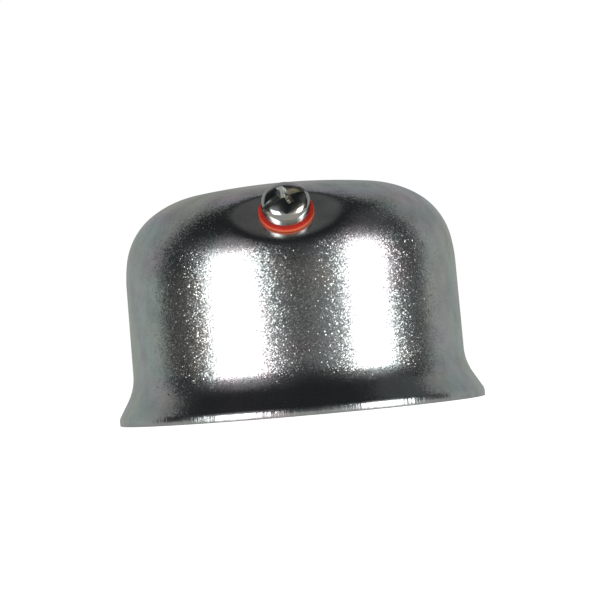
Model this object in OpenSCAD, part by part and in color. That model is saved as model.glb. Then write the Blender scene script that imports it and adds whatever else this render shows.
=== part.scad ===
// Float bowl of a small engine carburettor: a drawn steel cup that stands mouth down,
// with a drain screw on a fibre washer in a slanted flat on its shoulder.
// Origin at the centre of the mouth, +Z towards the closed end, drain flat towards -Y.

/* [Bowl] */
// Outside diameter over the lip at the mouth
lip_od = 62; // [58:0.5:66]
// Height from the mouth to the top of the crown
bowl_h = 38.7; // [36:0.1:44]
// Thickness of the sheet
sheet_t = 1; // [0.8:0.1:1.2]
// Lean of the side wall from upright, in degrees
wall_draft = 0.5; // [0:0.1:1]
// Diameter of the hole in the crown for the bowl bolt
bolt_hole_d = 10.2; // [6.2:0.1:12.2]

/* [Flared mouth] */
// Height of the upright lip
lip_h = 0.8; // [0.4:0.1:1.4]
// Outside radius of the bend from the lip into the flare
lip_bend_r = 1.5; // [1.2:0.1:3]
// Lean of the flare from upright, in degrees
flare_lean = 31; // [20:1:38]
// Length of the straight part of the flare
flare_len = 2.8; // [1.5:0.1:4]
// Outside radius of the bend from the flare into the side wall
flare_bend_r = 8.8; // [5:0.1:12]

/* [Shoulder] */
// Radius of the first bend, above the side wall
low_bend_r = 24.4; // [20:0.1:28]
// Slope from level at which the first bend ends, in degrees
low_bend_end = 79; // [75:1:84]
// Radius of the second, tightest bend
mid_bend_r = 11.7; // [10:0.1:13]
// Slope from level at which the second bend ends, in degrees
mid_bend_end = 33.5; // [28:0.5:38]
// Radius of the third bend, into the crown
high_bend_r = 17.1; // [15:0.1:19]
// Slope from level of the crown's edge, in degrees
crown_edge = 8; // [6:0.5:12]

/* [Drain flat] */
// Tilt of the flat's outward normal above level, in degrees
flat_tilt = 40; // [35:1:45]
// How far the flat is pressed in below the shoulder
flat_depth = 1.2; // [0.9:0.1:1.4]
// How far the drain hole sits up the flat from the flat's middle
drain_rise = 1; // [0:0.1:1.3]
// Diameter of the clearance hole through the flat
drain_hole_d = 4.5; // [4.3:0.1:5]

/* [Drain screw, M4] */
// Diameter of the thread
thread_d = 4; // [3:0.5:4]
// Length of the thread under the head
thread_len = 8; // [6:1:10]
// Diameter of the pan head
head_d = 8; // [7.6:0.1:8.2]
// Height of the pan head
head_h = 3.8; // [3.4:0.1:4]
// Width of the slot across the head
slot_w = 1.2; // [0.9:0.1:1.3]
// Depth of the slot at the middle of the head
slot_depth = 2.3; // [1.4:0.1:2.5]
// Turn of the slot from level, seen from outside, in degrees
slot_turn = 26; // [0:1:90]

/* [Drain washer and nut] */
// Outside diameter of the fibre washer
washer_od = 9; // [8.6:0.1:9.6]
// Thickness of the fibre washer
washer_t = 0.6; // [0.5:0.1:1]
// Width of the nut across its flats
nut_af = 7; // [7:0.5:8]
// Height of the nut
nut_h = 3.2; // [2.8:0.1:3.5]

/* [Bowl gasket] */
// Diameter of the gasket's round section
gasket_d = 2.5; // [2:0.1:2.6]

/* [Hidden] */
$fn = 96;

arc_step = 3;            // degrees of bend per point on an arc
running_gap = 0.05;      // radial gap between the screw's thread and the nut
washer_gap = 0.1;        // radial gap between the screw's thread and the washer
gasket_squeeze = 0.05;   // how far the flare presses into the gasket
reach = 100;             // larger than the bowl, for cutting blocks
past = 1;                // how far a cutter runs past the face that it cuts

zinc = [0.74, 0.75, 0.76];
steel = [0.62, 0.63, 0.65];
fibre = [0.78, 0.2, 0.13];
nitrile = [0.1, 0.1, 0.11];

// An outline in [radius, height] is walked from the lip to the crown. A slope of 90 runs
// straight up and a slope of 0 runs level towards the axis.
function last(points) = points[len(points) - 1];
function step_along(point, length, slope) =
    [point[0] - length * cos(slope), point[1] + length * sin(slope)];
function bend_to(point, radius, from_slope, to_slope) =
    [point[0] - radius * (sin(from_slope) - sin(to_slope)),
     point[1] + radius * (cos(to_slope) - cos(from_slope))];
// Points of a bend after its start: a radius below 0 bends away from the axis.
function bend(point, radius, from_slope, to_slope) =
    let (count = ceil(abs(to_slope - from_slope) / arc_step))
    [for (i = [1:count]) bend_to(point, radius, from_slope, from_slope + (to_slope - from_slope) * i / count)];

flare_slope = 90 - flare_lean;
wall_slope = 90 - wall_draft;

// The foot of the side wall, on the skin that lies depth below the outside
function lip_top(depth) = [lip_od / 2 - depth, lip_h];
function flare_foot(depth) = bend_to(lip_top(depth), lip_bend_r - depth, 90, flare_slope);
function flare_top(depth) = step_along(flare_foot(depth), flare_len, flare_slope);
function wall_foot(depth) = bend_to(flare_top(depth), -(flare_bend_r + depth), flare_slope, wall_slope);

// The wall's length and the crown's radius close the outline at the axis at height bowl_h.
shoulder = bend_to(bend_to(bend_to([0, 0], low_bend_r, wall_slope, low_bend_end),
    mid_bend_r, low_bend_end, mid_bend_end), high_bend_r, mid_bend_end, crown_edge);
crown_rise = tan(crown_edge / 2);
wall_len = (bowl_h - wall_foot(0)[1] - shoulder[1] - (wall_foot(0)[0] + shoulder[0]) * crown_rise)
    / (sin(wall_slope) - cos(wall_slope) * crown_rise);
crown_r = (step_along(wall_foot(0), wall_len, wall_slope)[0] + shoulder[0]) / sin(crown_edge);

// The outline of the skin that lies depth below the outside, from the mouth to the axis
function skin(depth) = let (
    flare = bend(lip_top(depth), lip_bend_r - depth, 90, flare_slope),
    throat = bend(flare_top(depth), -(flare_bend_r + depth), flare_slope, wall_slope),
    wall_top = step_along(last(throat), wall_len, wall_slope),
    low = bend(wall_top, low_bend_r - depth, wall_slope, low_bend_end),
    mid = bend(last(low), mid_bend_r - depth, low_bend_end, mid_bend_end),
    high = bend(last(mid), high_bend_r - depth, mid_bend_end, crown_edge),
    crown = bend(last(high), crown_r - depth, crown_edge, 0))
    concat([[lip_od / 2 - depth, 0], lip_top(depth)], flare, [flare_top(depth)], throat, [wall_top],
        low, mid, high, [for (i = [0:len(crown) - 2]) crown[i]], [[0, last(crown)[1]]]);

// Where the shoulder faces the same way as the flat, before it is pressed in
low_bend_top = bend_to(step_along(wall_foot(0), wall_len, wall_slope), low_bend_r, wall_slope, low_bend_end);
shoulder_peak = bend_to(low_bend_top, mid_bend_r, low_bend_end, 90 - flat_tilt);

// The point on the flat where the drain screw's axis comes out
drain_out = shoulder_peak[0] - flat_depth * cos(flat_tilt) - drain_rise * sin(flat_tilt);
drain_up = shoulder_peak[1] - flat_depth * sin(flat_tilt) + drain_rise * cos(flat_tilt);

// Stands its children on the flat: their z = 0 is the flat's face and +z runs out of the bowl.
module at_drain() {
    translate([0, -drain_out, drain_up]) rotate([90 - flat_tilt, 0, 0]) children();
}

// The body that fills the skin at depth, with the drain flat cut off it
module filled_bowl(depth) {
    difference() {
        rotate_extrude() polygon(concat(skin(depth), [[0, 0]]));
        at_drain() translate([-reach / 2, -reach / 2, -depth]) cube([reach, reach, reach]);
    }
}

module bowl_shell() {
    color(zinc) difference() {
        filled_bowl(0);
        filled_bowl(sheet_t);
        translate([0, 0, bowl_h - reach / 2]) cylinder(d = bolt_hole_d, h = reach);
        at_drain() translate([0, 0, -sheet_t - past]) cylinder(d = drain_hole_d, h = sheet_t + 2 * past);
    }
}

// Hexagon nut, welded behind the flat. Its bore stands for the thread at the thread's outside diameter.
module drain_nut() {
    color(steel) at_drain() difference() {
        translate([0, 0, -sheet_t - nut_h]) cylinder(d = nut_af / cos(30), h = nut_h, $fn = 6);
        translate([0, 0, -sheet_t - nut_h - past]) cylinder(d = thread_d, h = nut_h + 2 * past);
    }
}

// Half outline of the pan head, from its underside to the middle of its top
underside_r = 0.35;      // rounding of the head's lower edge
shoulder_r = 1.6;        // rounding of the head's upper edge
top_slope = 28;          // slope from level where the top's dome meets the upper edge, in degrees
head_side = bend([head_d / 2 - underside_r, 0], underside_r, 180, 90);
head_edge = bend_to([head_d / 2, 0], shoulder_r, 90, top_slope);
dome_r = head_edge[0] / sin(top_slope);
dome_rise = dome_r * (1 - cos(top_slope));
side_top = [head_d / 2, head_h - dome_rise - head_edge[1]];
head_round = bend(side_top, shoulder_r, 90, top_slope);
head_dome = bend(last(head_round), dome_r, top_slope, 0);
head_outline = concat([[0, 0], [head_d / 2 - underside_r, 0]], head_side, [side_top], head_round,
    [for (i = [0:len(head_dome) - 2]) head_dome[i]], [[0, head_h]]);

wing_w = 1.05;           // width of a wing of the cross recess
cross_r = 2.2;           // reach of the cross recess at the top of the head
cross_depth = 2.8;       // depth of the cross recess
tip_chamfer = 0.5;       // chamfer at the end of the thread

module cross_recess() {
    intersection() {
        translate([0, 0, head_h - cross_depth]) cylinder(r1 = wing_w / 2, r2 = cross_r * 1.1, h = cross_depth * 1.1);
        union() {
            for (turn = [0, 90])
                rotate(turn) translate([-cross_r, -wing_w / 2, 0]) cube([2 * cross_r, wing_w, 2 * head_h]);
        }
    }
}

module drain_screw() {
    shank_r = thread_d / 2 - running_gap;
    color(steel) at_drain() translate([0, 0, washer_t]) rotate(slot_turn) {
        difference() {
            union() {
                rotate_extrude() polygon(head_outline);
                translate([0, 0, tip_chamfer - thread_len]) cylinder(r = shank_r, h = thread_len - tip_chamfer);
                translate([0, 0, -thread_len])
                    cylinder(r1 = shank_r - tip_chamfer, r2 = shank_r, h = tip_chamfer);
            }
            translate([-head_d, -slot_w / 2, head_h - slot_depth]) cube([2 * head_d, slot_w, slot_depth + past]);
            cross_recess();
        }
    }
}

module drain_washer() {
    color(fibre) at_drain() difference() {
        cylinder(d = washer_od, h = washer_t);
        translate([0, 0, -past]) cylinder(d = thread_d + 2 * washer_gap, h = washer_t + 2 * past);
    }
}

// Round-section ring that rests in the flare, half way up its straight part
module bowl_gasket() {
    seat = step_along(flare_foot(sheet_t), flare_len / 2, flare_slope);
    inset = gasket_d / 2 - gasket_squeeze;
    color(nitrile) translate([0, 0, seat[1] - inset * cos(flare_slope)])
        rotate_extrude() translate([seat[0] - inset * sin(flare_slope), 0]) circle(d = gasket_d);
}

bowl_shell();
drain_nut();
drain_screw();
drain_washer();
bowl_gasket();
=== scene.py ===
"""Float bowl of a small engine carburettor: a drawn, bright zinc-plated steel cup that stands mouth
down, with a drain screw on a red fibre washer in the slanted flat on its shoulder.

Sizes are in millimetres until a mesh is made, and metres from there on. The bowl's axis is Z, and the
drain flat faces -Y and up. Slopes and turns are in degrees.
"""

import math

import bmesh
import bpy
from mathutils import Matrix, Vector


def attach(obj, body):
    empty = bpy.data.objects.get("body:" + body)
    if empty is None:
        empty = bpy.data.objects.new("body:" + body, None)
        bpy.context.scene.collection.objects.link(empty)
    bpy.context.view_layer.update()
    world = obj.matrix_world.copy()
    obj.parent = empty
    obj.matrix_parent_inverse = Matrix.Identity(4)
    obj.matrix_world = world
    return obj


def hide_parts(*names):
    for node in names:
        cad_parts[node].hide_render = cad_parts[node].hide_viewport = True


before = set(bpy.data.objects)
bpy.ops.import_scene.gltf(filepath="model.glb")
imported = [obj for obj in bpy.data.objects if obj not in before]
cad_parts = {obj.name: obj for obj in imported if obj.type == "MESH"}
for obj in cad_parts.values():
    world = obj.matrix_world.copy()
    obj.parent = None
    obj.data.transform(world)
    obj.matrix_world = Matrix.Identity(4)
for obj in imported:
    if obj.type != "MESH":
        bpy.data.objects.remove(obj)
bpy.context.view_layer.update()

MM = 0.001

# --------------------------------------------------------------------------------------------------
# Sizes of the object, in millimetres and degrees, as the part's source has them
# --------------------------------------------------------------------------------------------------

LIP_R = 31.0
BOWL_H = 38.7
SHEET = 1.0
WALL_DRAFT = 0.5
BOLT_HOLE_R = 5.1

LIP_H = 0.8
LIP_BEND_R = 1.5
FLARE_LEAN = 31.0
FLARE_LEN = 2.8
FLARE_BEND_R = 8.8

LOW_BEND_R = 24.4
LOW_BEND_END = 79.0
MID_BEND_R = 11.7
MID_BEND_END = 33.5
HIGH_BEND_R = 17.1
CROWN_EDGE = 8.0

FLAT_TILT = 40.0
FLAT_DEPTH = 1.2
DRAIN_RISE = 1.0
DRAIN_HOLE_R = 2.25

THREAD_PITCH = 0.7
THREAD_CREST_R = 1.95
THREAD_DEPTH = 0.38
THREAD_LEN = 8.0
THREAD_TIP = 0.5
THREAD_GAP = 0.05

HEAD_R = 4.0
HEAD_H = 3.8
SLOT_W = 1.2
SLOT_DEPTH = 2.3
SLOT_TURN = 26.0
UNDERSIDE_R = 0.35
SHOULDER_R = 1.6
TOP_SLOPE = 28.0
WING_W = 1.05
CROSS_R = 2.2
CROSS_DEPTH = 2.8

WASHER_R = 4.5
WASHER_BORE_R = 2.1
WASHER_T = 0.6

NUT_AF = 7.0
NUT_H = 3.2

GASKET_R = 1.25
GASKET_SQUEEZE = 0.05


# --------------------------------------------------------------------------------------------------
# Outlines
# --------------------------------------------------------------------------------------------------


def sin(degrees):
    return math.sin(math.radians(degrees))


def cos(degrees):
    return math.cos(math.radians(degrees))


def step_along(point, length, slope):
    """The point that lies length further along a straight stretch. Slope 90 runs upright, and 0 level
    towards the axis."""
    return (point[0] - length * cos(slope), point[1] + length * sin(slope))


def bend_to(point, radius, start, end):
    """The end of a bend from slope start to slope end. A radius below 0 bends away from the axis."""
    return (
        point[0] - radius * (sin(start) - sin(end)),
        point[1] + radius * (cos(end) - cos(start)),
    )


def bend(point, radius, start, end, spacing):
    """Points along a bend after its start, about spacing apart."""
    count = max(2, math.ceil(abs(radius * math.radians(end - start)) / spacing))
    slopes = [start + (end - start) * i / count for i in range(1, count + 1)]
    return [bend_to(point, radius, start, slope) for slope in slopes]


def straight(point, length, slope, spacing):
    """Points along a straight stretch after its start, about spacing apart."""
    count = max(1, math.ceil(length / spacing))
    return [step_along(point, length * i / count, slope) for i in range(1, count + 1)]


def eased(before, corner, after, radius):
    """Three points that ease a square corner between two neighbours by about radius."""
    corner, before, after = Vector(corner), Vector(before), Vector(after)
    first = corner + (before - corner).normalized() * radius
    last = corner + (after - corner).normalized() * radius
    middle = corner * 0.4 + (first + last) * 0.3
    return [tuple(first), tuple(middle), tuple(last)]


FLARE_SLOPE = 90 - FLARE_LEAN
WALL_SLOPE = 90 - WALL_DRAFT


def wall_foot():
    """Where the side wall starts on the outside, above the lip, the flare and their bends."""
    foot = bend_to((LIP_R, LIP_H), LIP_BEND_R, 90, FLARE_SLOPE)
    foot = step_along(foot, FLARE_LEN, FLARE_SLOPE)
    return bend_to(foot, -FLARE_BEND_R, FLARE_SLOPE, WALL_SLOPE)


def wall_and_crown():
    """The length of the side wall and the radius of the crown that close the outside on the axis, at the
    bowl's height."""
    foot = wall_foot()
    shoulder = bend_to((0, 0), LOW_BEND_R, WALL_SLOPE, LOW_BEND_END)
    shoulder = bend_to(shoulder, MID_BEND_R, LOW_BEND_END, MID_BEND_END)
    shoulder = bend_to(shoulder, HIGH_BEND_R, MID_BEND_END, CROWN_EDGE)
    rise = math.tan(math.radians(CROWN_EDGE / 2))
    length = (BOWL_H - foot[1] - shoulder[1] - (foot[0] + shoulder[0]) * rise) / (
        sin(WALL_SLOPE) - cos(WALL_SLOPE) * rise
    )
    radius = (step_along(foot, length, WALL_SLOPE)[0] + shoulder[0]) / sin(CROWN_EDGE)
    return length, radius


WALL_LEN, CROWN_R = wall_and_crown()
COARSE = 1.2  # spacing of points on the wall and the crown
FINE = 0.22  # spacing where the drain flat is pressed in
FLARE_SPACING = 0.6
FLARE_BEND_SPACING = 0.35
LIP_BEND_SPACING = 0.2


def skin(depth):
    """The skin that lies depth below the outside, from the lip's edge to the hole in the crown."""
    points = [(LIP_R - depth, 0), (LIP_R - depth, LIP_H)]
    points += bend(points[-1], LIP_BEND_R - depth, 90, FLARE_SLOPE, LIP_BEND_SPACING)
    points += straight(points[-1], FLARE_LEN, FLARE_SLOPE, FLARE_SPACING)
    flare_bend_r = -(FLARE_BEND_R + depth)
    points += bend(points[-1], flare_bend_r, FLARE_SLOPE, WALL_SLOPE, FLARE_BEND_SPACING)
    points += straight(points[-1], WALL_LEN, WALL_SLOPE, COARSE)
    points += bend(points[-1], LOW_BEND_R - depth, WALL_SLOPE, LOW_BEND_END, FINE * 2)
    points += bend(points[-1], MID_BEND_R - depth, LOW_BEND_END, MID_BEND_END, FINE)
    points += bend(points[-1], HIGH_BEND_R - depth, MID_BEND_END, CROWN_EDGE, FINE)
    hole_slope = math.degrees(math.asin(BOLT_HOLE_R / (CROWN_R - depth)))
    points += bend(points[-1], CROWN_R - depth, CROWN_EDGE, hole_slope, COARSE)
    return points


def drain_place():
    """The matrix that carries a piece from its own frame, +Z out of the bowl and +Y up the flat, to its
    place on the drain flat."""
    top = step_along(wall_foot(), WALL_LEN, WALL_SLOPE)
    top = bend_to(top, LOW_BEND_R, WALL_SLOPE, LOW_BEND_END)
    peak = bend_to(top, MID_BEND_R, LOW_BEND_END, 90 - FLAT_TILT)
    out = peak[0] - FLAT_DEPTH * cos(FLAT_TILT) - DRAIN_RISE * sin(FLAT_TILT)
    up = peak[1] - FLAT_DEPTH * sin(FLAT_TILT) + DRAIN_RISE * cos(FLAT_TILT)
    turn = Matrix.Rotation(math.radians(90 - FLAT_TILT), 4, "X")
    return Matrix.Translation((0, -out * MM, up * MM)) @ turn


DRAIN = drain_place()
DRAIN_NORMAL = DRAIN.to_3x3() @ Vector((0, 0, 1))
FLAT_REACH = DRAIN.translation.dot(DRAIN_NORMAL)  # how far the flat is from the origin, in metres


# --------------------------------------------------------------------------------------------------
# Mesh tools
# --------------------------------------------------------------------------------------------------


# In metres: points this close are one, points this close on a small turned part are one, and a length
# this short is none
SAME_POINT = 1e-6
SAME_POINT_FINE = 1e-7
NO_LENGTH = 1e-8


def chain(bm, outline, closed=False, turn=0.0):
    """A chain of edges through an outline of (radius, height) in millimetres, in the half plane that lies
    turn radians round Z from +X."""
    across, along = math.cos(turn), math.sin(turn)
    made = [bm.verts.new((r * MM * across, r * MM * along, z * MM)) for r, z in outline]
    pairs = list(zip(made, made[1:])) + ([(made[-1], made[0])] if closed else [])
    return made + [bm.edges.new(pair) for pair in pairs]


def spin_solid(bm, outline, steps, closed=False):
    """A closed solid of revolution about Z. An open outline starts and ends on the axis."""
    bmesh.ops.spin(
        bm,
        geom=chain(bm, outline, closed),
        cent=(0, 0, 0),
        axis=(0, 0, 1),
        angle=math.tau,
        steps=steps,
        use_merge=True,
    )
    bmesh.ops.remove_doubles(bm, verts=bm.verts, dist=SAME_POINT_FINE)
    bmesh.ops.dissolve_degenerate(bm, edges=bm.edges, dist=NO_LENGTH)
    bmesh.ops.recalc_face_normals(bm, faces=bm.faces)


def smooth(mesh, sharp):
    """Shades a mesh smooth, but for its edges over sharp degrees."""
    mesh.shade_smooth()
    mesh.set_sharp_from_angle(angle=math.radians(sharp))


def finished(name, bm, place=None, sharp=35.0):
    """The bmesh as an object at the origin, with its place in its mesh."""
    if place is not None:
        bm.transform(place)
    mesh = bpy.data.meshes.new(name)
    bm.to_mesh(mesh)
    bm.free()
    smooth(mesh, sharp)
    made = bpy.data.objects.new(name, mesh)
    bpy.context.scene.collection.objects.link(made)
    return made


def settle(target):
    """Applies the modifiers of an object to its mesh."""
    bpy.context.view_layer.update()
    graph = bpy.context.evaluated_depsgraph_get()
    mesh = bpy.data.meshes.new_from_object(target.evaluated_get(graph))
    old = target.data
    target.modifiers.clear()
    target.data = mesh
    mesh.name = target.name
    bpy.data.meshes.remove(old)


def combine(target, tool, operation):
    """Cuts the tool out of the target, or joins it on, and removes the tool."""
    step = target.modifiers.new("combine", "BOOLEAN")
    step.operation = operation
    step.solver = "EXACT"
    step.object = tool
    settle(target)
    spent = tool.data
    bpy.data.objects.remove(tool)
    bpy.data.meshes.remove(spent)


def break_edges(target, width, angle, segments=2):
    """Rounds the edges of a piece that are sharper than angle, as tumbling and plating do."""
    step = target.modifiers.new("broken edges", "BEVEL")
    step.width = width * MM
    step.segments = segments
    step.limit_method = "ANGLE"
    step.angle_limit = math.radians(angle)
    step.use_clamp_overlap = True
    settle(target)


def block(name, low, high, place=None):
    """A box between two corners in millimetres, for cutting."""
    bm = bmesh.new()
    size = [(b - a) * MM for a, b in zip(low, high)]
    centre = [(a + b) / 2 * MM for a, b in zip(low, high)]
    bmesh.ops.create_cube(bm, size=1.0)
    bmesh.ops.scale(bm, vec=size, verts=bm.verts)
    bmesh.ops.translate(bm, vec=centre, verts=bm.verts)
    return finished(name, bm, place)


def rod(name, outline, steps=96, place=None):
    """A solid of revolution for cutting or joining."""
    bm = bmesh.new()
    spin_solid(bm, outline, steps)
    return finished(name, bm, place)


def thread(name, crest_r, low, high, tip=None):
    """A right-handed metric thread about Z as a closed solid, between two heights. Its crests are an
    eighth of the pitch wide and its roots a quarter. A tip narrows the low end by that much."""
    per_turn = 40
    root_r = crest_r - THREAD_DEPTH
    crest, root = THREAD_PITCH / 8, THREAD_PITCH / 4
    flank = (THREAD_PITCH - crest - root) / 2
    # The helix starts and ends past both heights, and is trimmed to them.
    turns = math.ceil((high - low) / THREAD_PITCH) + 3
    base = (math.floor(low / THREAD_PITCH) - 1) * THREAD_PITCH
    heights = [0, root, root + flank, root + flank + crest, THREAD_PITCH]
    radii = [root_r, root_r, crest_r, crest_r, root_r]
    bm = bmesh.new()
    bmesh.ops.spin(
        bm,
        geom=chain(bm, [(r, base + h) for r, h in zip(radii, heights)]),
        cent=(0, 0, 0),
        axis=(0, 0, 1),
        dvec=(0, 0, THREAD_PITCH / per_turn * MM),
        angle=math.tau * turns,
        steps=per_turn * turns,
    )
    bmesh.ops.remove_doubles(bm, verts=bm.verts, dist=SAME_POINT)
    for height, side in ((low, -1), (high, 1)):
        bmesh.ops.bisect_plane(
            bm,
            geom=bm.verts[:] + bm.edges[:] + bm.faces[:],
            dist=NO_LENGTH,
            plane_co=(0, 0, height * MM),
            plane_no=(0, 0, side),
            clear_outer=True,
        )
    if tip:
        for v in bm.verts:
            reach = math.hypot(v.co.x, v.co.y)
            most = (crest_r - tip + (v.co.z / MM - low)) * MM
            if reach > most:
                v.co.x *= most / reach
                v.co.y *= most / reach
    bmesh.ops.holes_fill(bm, edges=[e for e in bm.edges if e.is_boundary], sides=0)
    bmesh.ops.recalc_face_normals(bm, faces=bm.faces)
    return finished(name, bm)


# --------------------------------------------------------------------------------------------------
# Materials
# --------------------------------------------------------------------------------------------------


def colour(hex_value):
    """A linear colour from sRGB hex such as "c8c8c8"."""
    parts = [int(hex_value[i : i + 2], 16) / 255 for i in (0, 2, 4)]
    return (*[c / 12.92 if c <= 0.04045 else ((c + 0.055) / 1.055) ** 2.4 for c in parts], 1.0)


def per_mm(size):
    """The scale that makes a pattern's features about size millimetres across, in metre coordinates."""
    return 1.0 / (size * MM)


def add(tree, kind, settings, inputs):
    """Adds a node with its settings. Each input is given a value, or linked to a socket or to a node's
    first output. MapRange takes 0 the value, 1 and 2 the range it is read from, 3 and 4 the range it is
    carried to. A colour Mix takes 0 the share, 6 and 7 the colours, and gives its colour at output 2."""
    made = tree.nodes.new("ShaderNode" + kind)
    for name, value in settings.items():
        setattr(made, name, value)
    for socket, value in inputs.items():
        if isinstance(value, bpy.types.Node):
            value = value.outputs[0]
        if isinstance(value, bpy.types.NodeSocket):
            tree.links.new(value, made.inputs[socket])
        else:
            made.inputs[socket].default_value = value
    return made


def empty_material(name):
    """A material with nothing in it, and its node tree."""
    made = bpy.data.materials.new(name)
    made.use_nodes = True
    made.node_tree.nodes.clear()
    return made, made.node_tree


def start_material(name):
    """A material with nothing in it, its node tree, and a socket with the object coordinates."""
    made, tree = empty_material(name)
    return made, tree, add(tree, "TexCoord", {}, {}).outputs["Object"]


def finish_material(tree, inputs):
    """Ends a material in one surface shader."""
    shader = add(tree, "BsdfPrincipled", {}, inputs)
    add(tree, "OutputMaterial", {}, {"Surface": shader})


# Sizes of the patterns in the zinc, in millimetres. Real grains are about 0.05 mm across and draw marks a
# few hundredths wide: both are drawn coarser, so that they show.
GRAIN = 0.13
MARK_W = 0.2
MARK_LEN = 2.5
TINT_PATCH = 14
RUB_PATCH = 4

# Where the tools burnished the sheet: heights between which the die let go of it, heights between which
# its draw marks fade, and depths below the flat over which the punch took hold, all in millimetres
DIE_EDGE = (2.0, 6.0)
MARKS_EDGE = (1.4, 3.0)
PUNCH_EDGE = (0.3, 0.1)
BURNISHED = 0.25  # share of the grain that is left there


def bright_zinc_on_drawn_steel():
    """Bright zinc electroplate on deep-drawn sheet. Drawing roughens the sheet like fine orange peel, so
    each grain mirrors its own way and the edges of highlights break up into sparkles. Where the die and
    the punch burnished the sheet, near the lip and on the flat, the sparkles nearly vanish. Upright draw
    marks are deepest at the lip, where the sheet ran over the die, and break its highlight into dashes.
    The clear passivation gives faint pink, teal and straw tints, and handling leaves dull smudges."""
    made, tree, where = start_material("bright_zinc_on_drawn_steel")
    height = add(tree, "SeparateXYZ", {}, {0: where}).outputs[2]
    multiply = {"operation": "MULTIPLY"}
    scale = {"operation": "SCALE"}
    dot = {"operation": "DOT_PRODUCT"}
    blend = {"data_type": "RGBA"}
    middle = (0.5, 0.5, 0.5)

    # Each grain tilts its own way. Most tilt a little and few tilt a lot, and less so up and down.
    grains = add(tree, "TexVoronoi", {}, {"Vector": where, "Scale": per_mm(GRAIN)}).outputs["Color"]
    grain_tilt = add(tree, "VectorMath", {"operation": "SUBTRACT"}, {0: grains, 1: middle})
    steepness = add(tree, "VectorMath", dot, {0: grain_tilt, 1: grain_tilt}).outputs["Value"]
    grain_share = add(tree, "Math", {"operation": "MULTIPLY_ADD"}, {0: steepness, 1: 0.4, 2: 0.45})
    grain_share = add(tree, "Math", multiply, {0: grain_share, 1: steepness})
    low, high = DIE_EDGE
    by_die = add(tree, "MapRange", {}, {0: height, 1: low * MM, 2: high * MM, 3: BURNISHED, 4: 1.0})
    grain_share = add(tree, "Math", multiply, {0: grain_share, 1: by_die})
    proud = add(tree, "VectorMath", dot, {0: where, 1: DRAIN_NORMAL}).outputs["Value"]
    low, high = (FLAT_REACH - depth * MM for depth in PUNCH_EDGE)
    by_punch = add(tree, "MapRange", {}, {0: proud, 1: low, 2: high, 3: 1.0, 4: BURNISHED})
    grain_share = add(tree, "Math", multiply, {0: grain_share, 1: by_punch})
    grain_tilt = add(tree, "VectorMath", multiply, {0: grain_tilt, 1: (1.0, 1.0, 0.4)})
    grain_tilt = add(tree, "VectorMath", scale, {0: grain_tilt, "Scale": grain_share})

    stretch = (per_mm(MARK_W), per_mm(MARK_W), per_mm(MARK_LEN))
    along = add(tree, "Mapping", {}, {"Vector": where, "Scale": stretch})
    marks = add(tree, "TexNoise", {}, {"Vector": along, "Scale": 1.0, "Detail": 2.0}).outputs["Color"]
    mark_tilt = add(tree, "VectorMath", {"operation": "SUBTRACT"}, {0: marks, 1: middle})
    low, high = MARKS_EDGE
    near_lip = add(tree, "MapRange", {}, {0: height, 1: low * MM, 2: high * MM, 3: 0.4, 4: 0.05})
    mark_tilt = add(tree, "VectorMath", multiply, {0: mark_tilt, 1: (1.0, 1.0, 0.25)})
    mark_tilt = add(tree, "VectorMath", scale, {0: mark_tilt, "Scale": near_lip})

    tilted = add(tree, "NewGeometry", {}, {}).outputs["Normal"]
    for tilt in (grain_tilt, mark_tilt):
        tilted = add(tree, "VectorMath", {"operation": "ADD"}, {0: tilted, 1: tilt})
    tilted = add(tree, "VectorMath", {"operation": "NORMALIZE"}, {0: tilted})

    patches = {"Vector": where, "Scale": per_mm(TINT_PATCH), "Detail": 1.0}
    patches = add(tree, "TexNoise", {}, patches).outputs[0]
    rub = add(tree, "TexNoise", {}, {"Vector": where, "Scale": per_mm(RUB_PATCH), "Detail": 3.0}).outputs[0]
    tint = colour("d7d1d4")
    for field, low, high, most, next_tint in (
        (patches, 0.4, 0.5, 1.0, "ced5d4"),
        (patches, 0.57, 0.68, 1.0, "d7d5cf"),
        (rub, 0.4, 0.7, 0.8, "b8bbbc"),
    ):
        share = add(tree, "MapRange", {}, {0: field, 1: low, 2: high, 3: 0.0, 4: most})
        tint = add(tree, "Mix", blend, {0: share, 6: tint, 7: colour(next_tint)}).outputs[2]
    roughness = add(tree, "MapRange", {}, {0: rub, 1: 0.3, 2: 0.7, 3: 0.2, 4: 0.25})
    finish_material(
        tree,
        {"Base Color": tint, "Metallic": 1.0, "Roughness": roughness, "Normal": tilted},
    )
    return made


def bright_zinc_on_screw():
    """Bright zinc on a cold-headed screw: smooth as the heading die left it, so that it mirrors sharply,
    with fine nicks from tumbling."""
    made, tree, where = start_material("bright_zinc_on_cold_headed_steel")
    nicks = add(tree, "TexNoise", {}, {"Vector": where, "Scale": per_mm(0.3), "Detail": 2.0}).outputs[0]
    relief = add(tree, "Bump", {}, {"Strength": 1.0, "Distance": 0.004 * MM, "Height": nicks})
    patches = add(tree, "TexNoise", {}, {"Vector": where, "Scale": per_mm(2), "Detail": 1.0}).outputs[0]
    share = add(tree, "MapRange", {}, {0: patches, 1: 0.4, 2: 0.6, 3: 0.0, 4: 1.0})
    tint = add(
        tree,
        "Mix",
        {"data_type": "RGBA"},
        {0: share, 6: colour("cdd2d2"), 7: colour("dad5cb")},
    ).outputs[2]
    roughness = add(tree, "MapRange", {}, {0: patches, 1: 0.35, 2: 0.65, 3: 0.13, 4: 0.2})
    finish_material(
        tree,
        {"Base Color": tint, "Metallic": 1.0, "Roughness": roughness, "Normal": relief},
    )
    return made


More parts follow.
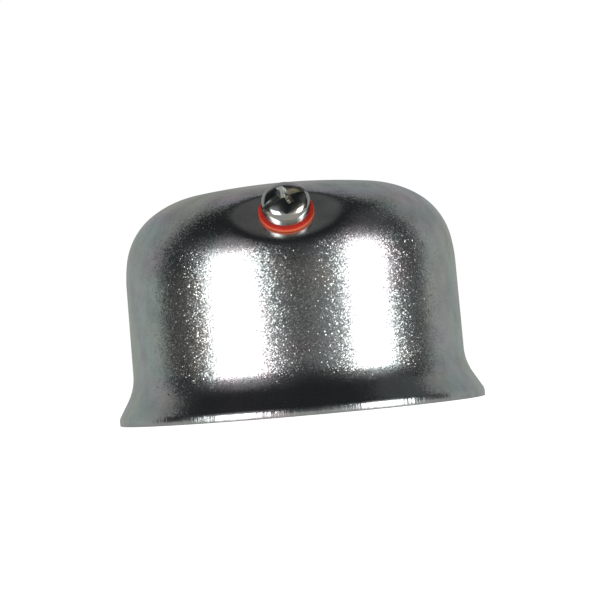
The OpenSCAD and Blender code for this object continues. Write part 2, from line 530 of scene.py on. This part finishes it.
def dull_zinc_on_nut():
    """Zinc inside the bowl, where the plating bath reached less: duller and greyer, so that its
    highlights blur, over a forged skin."""
    made, tree, where = start_material("dull_zinc_on_forged_steel")
    forged = add(tree, "TexNoise", {}, {"Vector": where, "Scale": per_mm(0.4), "Detail": 3.0}).outputs[0]
    relief = add(tree, "Bump", {}, {"Strength": 1.0, "Distance": 0.03 * MM, "Height": forged})
    share = add(tree, "MapRange", {}, {0: forged, 1: 0.35, 2: 0.65, 3: 0.0, 4: 1.0})
    tint = add(
        tree,
        "Mix",
        {"data_type": "RGBA"},
        {0: share, 6: colour("a9abac"), 7: colour("c2c1bb")},
    ).outputs[2]
    roughness = add(tree, "MapRange", {}, {0: forged, 1: 0.3, 2: 0.7, 3: 0.3, 4: 0.45})
    finish_material(
        tree,
        {"Base Color": tint, "Metallic": 1.0, "Roughness": roughness, "Normal": relief},
    )
    return made


def red_vulcanised_fibre():
    """Vulcanised fibre, punched from sheet: waxy and slightly furred. Its side is painted a paler orange
    red, a painted highlight where the lights catch it, and its top face keeps a deep red, the fibre's own
    red darkened as painted shade under the screw head."""
    made, tree, where = start_material("red_vulcanised_fibre")
    fibres = add(
        tree,
        "TexNoise",
        {},
        {"Vector": where, "Scale": per_mm(0.3), "Detail": 4.0, "Roughness": 0.6},
    ).outputs[0]
    mottle = add(tree, "TexNoise", {}, {"Vector": where, "Scale": per_mm(1.2), "Detail": 2.0}).outputs[0]
    share = add(tree, "MapRange", {}, {0: fibres, 1: 0.35, 2: 0.65, 3: 0.0, 4: 1.0})
    tint = add(
        tree,
        "Mix",
        {"data_type": "RGBA"},
        {0: share, 6: colour("a8160f"), 7: colour("d03620")},
    ).outputs[2]
    share = add(tree, "MapRange", {}, {0: mottle, 1: 0.45, 2: 0.7, 3: 0.0, 4: 0.6})
    tint = add(tree, "Mix", {"data_type": "RGBA"}, {0: share, 6: tint, 7: colour("b41e14")}).outputs[2]
    # Painted light: below the top face, on the side and in the bore, the colour turns to a paler orange red
    # as a painted highlight; the top face keeps the deeper red as painted shade under the head.
    dot = {"operation": "DOT_PRODUCT"}
    proud = add(tree, "VectorMath", dot, {0: where, 1: DRAIN_NORMAL}).outputs["Value"]
    top = FLAT_REACH + WASHER_T * MM
    low, high = top - 0.14 * MM, top - 0.02 * MM
    edge = add(tree, "MapRange", {}, {0: proud, 1: low, 2: high, 3: 1.0, 4: 0.0})
    painted_lit_side_colour = add(
        tree,
        "Mix",
        {"data_type": "RGBA"},
        {0: fibres, 6: colour("c64a28"), 7: colour("de7044")},
    ).outputs[2]
    tint = add(tree, "Mix", {"data_type": "RGBA"}, {0: edge, 6: tint, 7: painted_lit_side_colour}).outputs[2]
    relief = add(tree, "Bump", {}, {"Strength": 1.0, "Distance": 0.04 * MM, "Height": fibres})
    roughness = add(tree, "MapRange", {}, {0: fibres, 1: 0.3, 2: 0.7, 3: 0.42, 4: 0.6})
    finish_material(tree, {"Base Color": tint, "Roughness": roughness, "Normal": relief})
    return made


def black_nitrile():
    """Moulded nitrile rubber: near black and matt, with a faint grey bloom and the skin of the mould."""
    made, tree, where = start_material("black_nitrile_rubber")
    bloom = add(tree, "TexNoise", {}, {"Vector": where, "Scale": per_mm(4), "Detail": 4.0}).outputs[0]
    mould = add(tree, "TexNoise", {}, {"Vector": where, "Scale": per_mm(0.15), "Detail": 2.0}).outputs[0]
    share = add(tree, "MapRange", {}, {0: bloom, 1: 0.4, 2: 0.75, 3: 0.0, 4: 1.0})
    tint = add(
        tree,
        "Mix",
        {"data_type": "RGBA"},
        {0: share, 6: colour("161719"), 7: colour("2b2c2d")},
    ).outputs[2]
    relief = add(tree, "Bump", {}, {"Strength": 1.0, "Distance": 0.015 * MM, "Height": mould})
    roughness = add(tree, "MapRange", {}, {0: bloom, 1: 0.3, 2: 0.7, 3: 0.45, 4: 0.6})
    finish_material(tree, {"Base Color": tint, "Roughness": roughness, "Normal": relief})
    return made


# --------------------------------------------------------------------------------------------------
# Pieces
# --------------------------------------------------------------------------------------------------

EDGE_EASE = 0.12  # how much the sheet's cut edges are eased
FLAT_SOFT = 0.2  # how gently the flat runs into the shoulder
FRONT_SPAN = 56.0  # degrees of the bowl about the flat that get a fine mesh
FRONT_STEPS = 112
BACK_STEPS = 152
PAST = 2.0  # how far a cut runs on past what it cuts
CUT_STEPS = 64  # flats round a turned cut
SCREW_EDGE, SCREW_EDGE_ANGLE = 0.12, 28
NUT_EDGE, NUT_EDGE_ANGLE = 0.08, 25
HARDWARE_SHARP = 30.0  # edges of the screw and the nut over this angle stay sharp


def press_flat(bm):
    """Presses the slanted flat into both skins of the shoulder, with an eased rim."""
    soft = FLAT_SOFT * MM
    untouched = -12 * soft
    for v in bm.verts:
        depth = SHEET * MM if v[inner_layer(bm)] else 0.0
        proud = v.co.dot(DRAIN_NORMAL) - (FLAT_REACH - depth)
        if proud < untouched:
            continue
        pressed = -soft * math.log1p(math.exp(-proud / soft))
        v.co -= DRAIN_NORMAL * (proud - pressed)


def inner_layer(bm):
    """The vertex layer that marks the inner skin."""
    return bm.verts.layers.int.get("inner") or bm.verts.layers.int.new("inner")


def make_bowl_shell():
    """The drawn cup: both skins and both cut edges in one closed wall, then the flat and the drain hole."""
    outer, inner = skin(0), skin(SHEET)[::-1]
    at_hole = eased(outer[-2], (BOLT_HOLE_R, outer[-1][1]), inner[0], EDGE_EASE)
    under_hole = eased(outer[-1], (BOLT_HOLE_R, inner[0][1]), inner[1], EDGE_EASE)
    in_lip = eased(inner[-2], inner[-1], outer[0], EDGE_EASE)
    out_lip = eased(inner[-1], outer[0], outer[1], EDGE_EASE)
    outline = outer[1:-1] + at_hole + under_hole + inner[1:-1] + in_lip + out_lip
    first_inner = len(outer[1:-1]) + len(at_hole)
    bm = bmesh.new()
    mark = inner_layer(bm)
    start = math.radians(-90 - FRONT_SPAN / 2)
    geom = chain(bm, outline, closed=True, turn=start)
    for v in geom[first_inner : len(outline) - len(out_lip)]:
        v[mark] = 1
    for span, steps in ((FRONT_SPAN, FRONT_STEPS), (360 - FRONT_SPAN, BACK_STEPS)):
        geom = bmesh.ops.spin(
            bm,
            geom=geom,
            cent=(0, 0, 0),
            axis=(0, 0, 1),
            angle=math.radians(span),
            steps=steps,
        )["geom_last"]
    bmesh.ops.remove_doubles(bm, verts=bm.verts, dist=SAME_POINT)
    bmesh.ops.recalc_face_normals(bm, faces=bm.faces)
    press_flat(bm)
    shell = finished("drawn_bowl", bm)
    low = -SHEET - PAST
    hole = [(0, low), (DRAIN_HOLE_R, low), (DRAIN_HOLE_R, PAST), (0, PAST)]
    combine(shell, rod("drain_hole", hole, CUT_STEPS, DRAIN), "DIFFERENCE")
    return shell


def head_outline():
    """The pan head from the middle of its underside, round its edge, to the middle of its top. Its points
    are about 0.1 mm apart on the bends and 0.3 mm on the dome."""
    edge = bend_to((HEAD_R, 0), SHOULDER_R, 90, TOP_SLOPE)
    dome_r = edge[0] / sin(TOP_SLOPE)
    side_top = (HEAD_R, HEAD_H - dome_r * (1 - cos(TOP_SLOPE)) - edge[1])
    points = [(0, 0), (HEAD_R - UNDERSIDE_R, 0)]
    points += bend(points[-1], UNDERSIDE_R, 180, 90, 0.08)
    points.append(side_top)
    points += bend(side_top, SHOULDER_R, 90, TOP_SLOPE, 0.12)
    points += bend(points[-1], dome_r, TOP_SLOPE, 0, 0.3)[:-1]
    return points + [(0, HEAD_H)]


def make_drain_screw():
    """Pan head with a slot across it and a cross recess, on a rolled thread."""
    head = rod("drain_screw_pan_head", head_outline(), 128)
    high = HEAD_H + PAST
    reach = HEAD_R + PAST
    slot = block("slot", (-reach, -SLOT_W / 2, HEAD_H - SLOT_DEPTH), (reach, SLOT_W / 2, high))
    combine(head, slot, "DIFFERENCE")
    recess_foot = HEAD_H - CROSS_DEPTH
    recess_top = HEAD_H + CROSS_DEPTH * 0.1
    cone = [(0, recess_foot), (WING_W / 2, recess_foot), (CROSS_R * 1.1, recess_top), (0, recess_top)]
    for turn in (0, 90):
        wing = block("wing", (-CROSS_R, -WING_W / 2, 0), (CROSS_R, WING_W / 2, high))
        wing.data.transform(Matrix.Rotation(math.radians(turn), 4, "Z"))
        combine(wing, rod("recess_cone", cone, CUT_STEPS), "INTERSECT")
        combine(head, wing, "DIFFERENCE")
    break_edges(head, SCREW_EDGE, SCREW_EDGE_ANGLE)
    into_head = 0.2
    shank = thread("thread", THREAD_CREST_R, -THREAD_LEN, into_head, THREAD_TIP)
    combine(head, shank, "UNION")
    on_washer = Matrix.Translation((0, 0, WASHER_T * MM))
    turned = Matrix.Rotation(math.radians(SLOT_TURN), 4, "Z")
    head.data.transform(DRAIN @ on_washer @ turned)
    smooth(head.data, HARDWARE_SHARP)
    return head


def make_drain_washer():
    """Punched fibre ring, its edges eased and its rim bulged a little, as the screw pressed it."""
    ease, bulge = 0.08, 0.04
    rim = WASHER_R - bulge
    outline = [
        (WASHER_BORE_R + ease, 0),
        (rim - ease, 0),
        (rim - ease * 0.3, ease * 0.3),
        (rim + bulge * 0.6, WASHER_T * 0.25),
        (WASHER_R, WASHER_T * 0.5),
        (rim + bulge * 0.6, WASHER_T * 0.75),
        (rim - ease * 0.3, WASHER_T - ease * 0.3),
        (rim - ease, WASHER_T),
        (WASHER_BORE_R + ease, WASHER_T),
        (WASHER_BORE_R, WASHER_T - ease),
        (WASHER_BORE_R, ease),
    ]
    bm = bmesh.new()
    spin_solid(bm, outline, 128, closed=True)
    return finished("fibre_washer", bm, DRAIN, sharp=60)


def make_drain_nut():
    """Hexagon nut with chamfered corners and a cut thread, welded behind the flat."""
    low, high = -SHEET - NUT_H, -SHEET
    bm = bmesh.new()
    bmesh.ops.create_circle(bm, cap_ends=True, segments=6, radius=NUT_AF / 2 / cos(30) * MM)
    bmesh.ops.rotate(bm, verts=bm.verts, matrix=Matrix.Rotation(math.radians(30), 3, "Z"))
    bmesh.ops.translate(bm, verts=bm.verts, vec=(0, 0, low * MM))
    side = bmesh.ops.extrude_face_region(bm, geom=bm.faces[:])["geom"]
    lifted = [v for v in side if isinstance(v, bmesh.types.BMVert)]
    bmesh.ops.translate(bm, verts=lifted, vec=(0, 0, NUT_H * MM))
    bmesh.ops.recalc_face_normals(bm, faces=bm.faces)
    nut = finished("weld_nut", bm)
    spare, chamfer_w, chamfer_h = 0.1, 0.6, 0.4
    corner = NUT_AF / 2 / cos(30) + spare
    face_r = corner - chamfer_w - spare
    barrel = [(0, low), (face_r, low), (corner, low + chamfer_h), (corner, high), (0, high)]
    combine(nut, rod("corner_chamfer", barrel), "INTERSECT")
    break_edges(nut, NUT_EDGE, NUT_EDGE_ANGLE)
    tap_past = 0.5
    tap = thread("cut_thread", THREAD_CREST_R + THREAD_GAP, low - tap_past, high + tap_past)
    combine(nut, tap, "DIFFERENCE")
    nut.data.transform(DRAIN)
    smooth(nut.data, HARDWARE_SHARP)
    return nut


def make_bowl_gasket():
    """Moulded ring with a fine flash line round its inside and outside."""
    flare = bend_to((LIP_R - SHEET, LIP_H), LIP_BEND_R - SHEET, 90, FLARE_SLOPE)
    seat = step_along(flare, FLARE_LEN / 2, FLARE_SLOPE)
    inset = GASKET_R - GASKET_SQUEEZE
    ring_r, ring_z = seat[0] - inset * sin(FLARE_SLOPE), seat[1] - inset * cos(FLARE_SLOPE)
    # The section is a little slimmer than the ring's, so that the flash line stays within it.
    count, flash_h, slimmer = 48, 0.03, 0.05
    outline = []
    for i in range(count):
        turn = 360 * i / count
        flash = flash_h if i % (count // 2) == 0 else 0.0
        across = (GASKET_R + flash - slimmer) * cos(turn)
        outline.append((ring_r + across, ring_z + (GASKET_R - slimmer) * sin(turn)))
    bm = bmesh.new()
    spin_solid(bm, outline, 256, closed=True)
    return finished("nitrile_ring", bm, sharp=80)


def hand_over(piece, node, body, material):
    """Gives a piece its material, and puts it in place of a CAD node on a body."""
    piece.data.materials.clear()
    piece.data.materials.append(material)
    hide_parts(node)
    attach(piece, body)


hand_over(make_bowl_shell(), "bowl_shell", "bowl", bright_zinc_on_drawn_steel())
hand_over(make_drain_nut(), "drain_nut", "bowl", dull_zinc_on_nut())
hand_over(make_bowl_gasket(), "bowl_gasket", "bowl", black_nitrile())
hand_over(make_drain_washer(), "drain_washer", "washer", red_vulcanised_fibre())
hand_over(make_drain_screw(), "drain_screw", "screw", bright_zinc_on_screw())


# --------------------------------------------------------------------------------------------------
# Stage, light and camera
# --------------------------------------------------------------------------------------------------

STAGE_R = 2.0


def pale_floor():
    """White paper, lit evenly besides the lights so that only a soft shadow shows, and clear from below."""
    made, tree = empty_material("pale_floor")
    paper = add(tree, "BsdfDiffuse", {}, {"Color": (0.9, 0.9, 0.9, 1)})
    light = add(tree, "Emission", {}, {"Strength": 0.85})
    both = add(tree, "AddShader", {}, {0: light, 1: paper})
    below = add(tree, "NewGeometry", {}, {}).outputs["Backfacing"]
    surface = add(tree, "MixShader", {}, {0: below, 1: both, 2: add(tree, "BsdfTransparent", {}, {})})
    add(tree, "OutputMaterial", {}, {"Surface": surface})
    return made


def white_surround():
    """An even white all round, above the floor."""
    made, tree = empty_material("white_surround")
    add(tree, "OutputMaterial", {}, {"Surface": add(tree, "Emission", {}, {"Strength": 1.02})})
    return made


def make_stage():
    """A pale floor, and a white surround that only the camera sees."""
    bm = bmesh.new()
    bmesh.ops.create_circle(bm, cap_ends=True, segments=96, radius=STAGE_R)
    floor = finished("floor", bm)
    floor.data.materials.append(pale_floor())
    floor.visible_glossy = False
    floor.visible_shadow = False
    bm = bmesh.new()
    bmesh.ops.create_uvsphere(bm, u_segments=48, v_segments=24, radius=STAGE_R)
    surround = finished("surround", bm)
    surround.data.materials.append(white_surround())
    for kind in ("glossy", "diffuse", "shadow", "transmission", "volume_scatter"):
        setattr(surround, "visible_" + kind, False)


# Soft lights and their halos, as seen from the bowl: azimuth from the front, half width, elevation,
# half height and softness of the edge, all in degrees, and radiance
GLOWS = (
    (-41.5, 16.0, 2.0, 15.0, 3.0, 5.0),
    (-42.0, 28.0, 8.0, 24.0, 12.0, 0.1),
    (-41.0, 17.0, 26.0, 15.0, 8.0, 0.2),
    (-20.0, 12.0, 1.0, 15.0, 5.0, 0.15),
    (53.0, 12.8, 3.0, 16.0, 3.0, 5.0),
    (53.0, 28.0, 8.0, 24.0, 12.0, 0.1),
    (56.0, 11.0, 26.0, 12.0, 6.0, 0.22),
    (24.0, 15.0, 1.0, 17.0, 6.0, 0.1),
    (86.0, 22.0, 46.0, 9.0, 5.0, 0.06),
)


def make_surroundings():
    """What the bright metal mirrors: two tall soft lights in front, an uneven grey backdrop that arches
    up behind, a dim ceiling, a grey floor, and dark elsewhere."""
    world = bpy.data.worlds.new("studio")
    bpy.context.scene.world = world
    world.use_nodes = True
    tree = world.node_tree
    tree.nodes.clear()
    direction = add(tree, "TexCoord", {}, {}).outputs["Generated"]
    right, back, up = add(tree, "SeparateXYZ", {}, {0: direction}).outputs
    soft = {"interpolation_type": "SMOOTHSTEP"}
    blend = {"data_type": "RGBA"}

    behind = add(tree, "MapRange", soft, {0: back, 1: 0.14, 2: 0.3, 3: 0.0, 4: 1.0})
    arch = add(tree, "Math", {"operation": "MULTIPLY_ADD"}, {0: back, 1: -0.78, 2: up})
    arch = add(tree, "MapRange", soft, {0: arch, 1: 0.38, 2: 0.56, 3: 1.0, 4: 0.0})
    backdrop = add(tree, "Math", {"operation": "MULTIPLY"}, {0: behind, 1: arch})
    ceiling = add(tree, "MapRange", soft, {0: up, 1: 0.94, 2: 0.98, 3: 0.0, 4: 1.0})
    ground = add(tree, "MapRange", soft, {0: up, 1: -0.12, 2: -0.05, 3: 1.0, 4: 0.0})
    shade = colour("1d2022")
    height = add(tree, "MapRange", {}, {0: up, 1: 0.1, 2: 0.55, 3: 0.0, 4: 1.0})
    paper = {0: height, 6: colour("9da1a1"), 7: colour("898c8b")}
    paper = add(tree, "Mix", blend, paper).outputs[2]
    uneven = {"Vector": direction, "Scale": 4.0, "Detail": 3.0}
    uneven = add(tree, "TexNoise", {}, uneven).outputs["Color"]
    paper = add(tree, "Mix", blend, {0: 0.2, 6: paper, 7: uneven}).outputs[2]
    for share, tone in ((backdrop, paper), (ceiling, colour("5c5e5c")), (ground, colour("a2a19e"))):
        shade = add(tree, "Mix", blend, {0: share, 6: shade, 7: tone}).outputs[2]

    front = add(tree, "Math", {"operation": "MULTIPLY"}, {0: back, 1: -1.0})
    azimuth = add(tree, "Math", {"operation": "ARCTAN2"}, {0: right, 1: front})
    elevation = add(tree, "Math", {"operation": "ARCSINE"}, {0: up})
    for around, half_width, above, half_height, edge, radiance in GLOWS:
        within = radiance
        for angle, middle, half in ((azimuth, around, half_width), (elevation, above, half_height)):
            away = add(tree, "Math", {"operation": "SUBTRACT"}, {0: angle, 1: math.radians(middle)})
            away = add(tree, "Math", {"operation": "ABSOLUTE"}, {0: away})
            limits = {1: math.radians(half - edge), 2: math.radians(half + edge), 3: 1.0, 4: 0.0}
            inside = add(tree, "MapRange", soft, {0: away, **limits})
            within = add(tree, "Math", {"operation": "MULTIPLY"}, {0: inside, 1: within})
        glow = add(tree, "CombineColor", {}, {0: within, 1: within, 2: within})
        shade = add(tree, "Mix", {**blend, "blend_type": "ADD"}, {0: 1.0, 6: shade, 7: glow}).outputs[2]
    light = add(tree, "Background", {}, {"Color": shade, "Strength": 1.0})
    add(tree, "OutputWorld", {}, {"Surface": light})


def make_overhead():
    """A wide, weak light from above for the matt pieces and the floor. The metal doesn't mirror it."""
    data = bpy.data.lights.new("overhead", "AREA")
    data.shape = "DISK"
    data.size = 0.9
    data.energy = 2.0
    lamp = bpy.data.objects.new("overhead", data)
    lamp.location = (-0.15, -0.5, 0.8)
    lamp.rotation_euler = lamp.location.to_track_quat("Z", "Y").to_euler()
    lamp.visible_glossy = False
    bpy.context.scene.collection.objects.link(lamp)


def make_camera():
    """A long lens just above the rim, looking level at the bowl, rolled so that the rim climbs to the
    right."""
    distance, lens_units, frame_units = 450.0, 2651.5, 608.0
    eye_z = 12.8
    aim_right, aim_up = 10.4, 30.45  # where the lens points, from the bowl's axis, in the frame's units
    roll, around = 4.97, -0.35
    sensor = 36.0
    data = bpy.data.cameras.new("camera")
    data.sensor_width = sensor
    data.lens = lens_units / frame_units * sensor
    data.clip_start, data.clip_end = 0.01, 10.0
    camera = bpy.data.objects.new("camera", data)
    eye = Vector((0, -distance, eye_z)) * MM
    aim_x, aim_z = (shift / lens_units * distance for shift in (aim_right, aim_up))
    aim = Vector((aim_x, 0, eye_z + aim_z)) * MM
    facing = (aim - eye).to_track_quat("-Z", "Y").to_matrix().to_4x4()
    level = Matrix.Translation(eye) @ facing @ Matrix.Rotation(math.radians(-roll), 4, "Z")
    camera.matrix_world = Matrix.Rotation(math.radians(around), 4, "Z") @ level
    bpy.context.scene.collection.objects.link(camera)
    bpy.context.scene.camera = camera


make_stage()
make_surroundings()
make_overhead()
make_camera()
bpy.context.scene.view_settings.view_transform = "Standard"
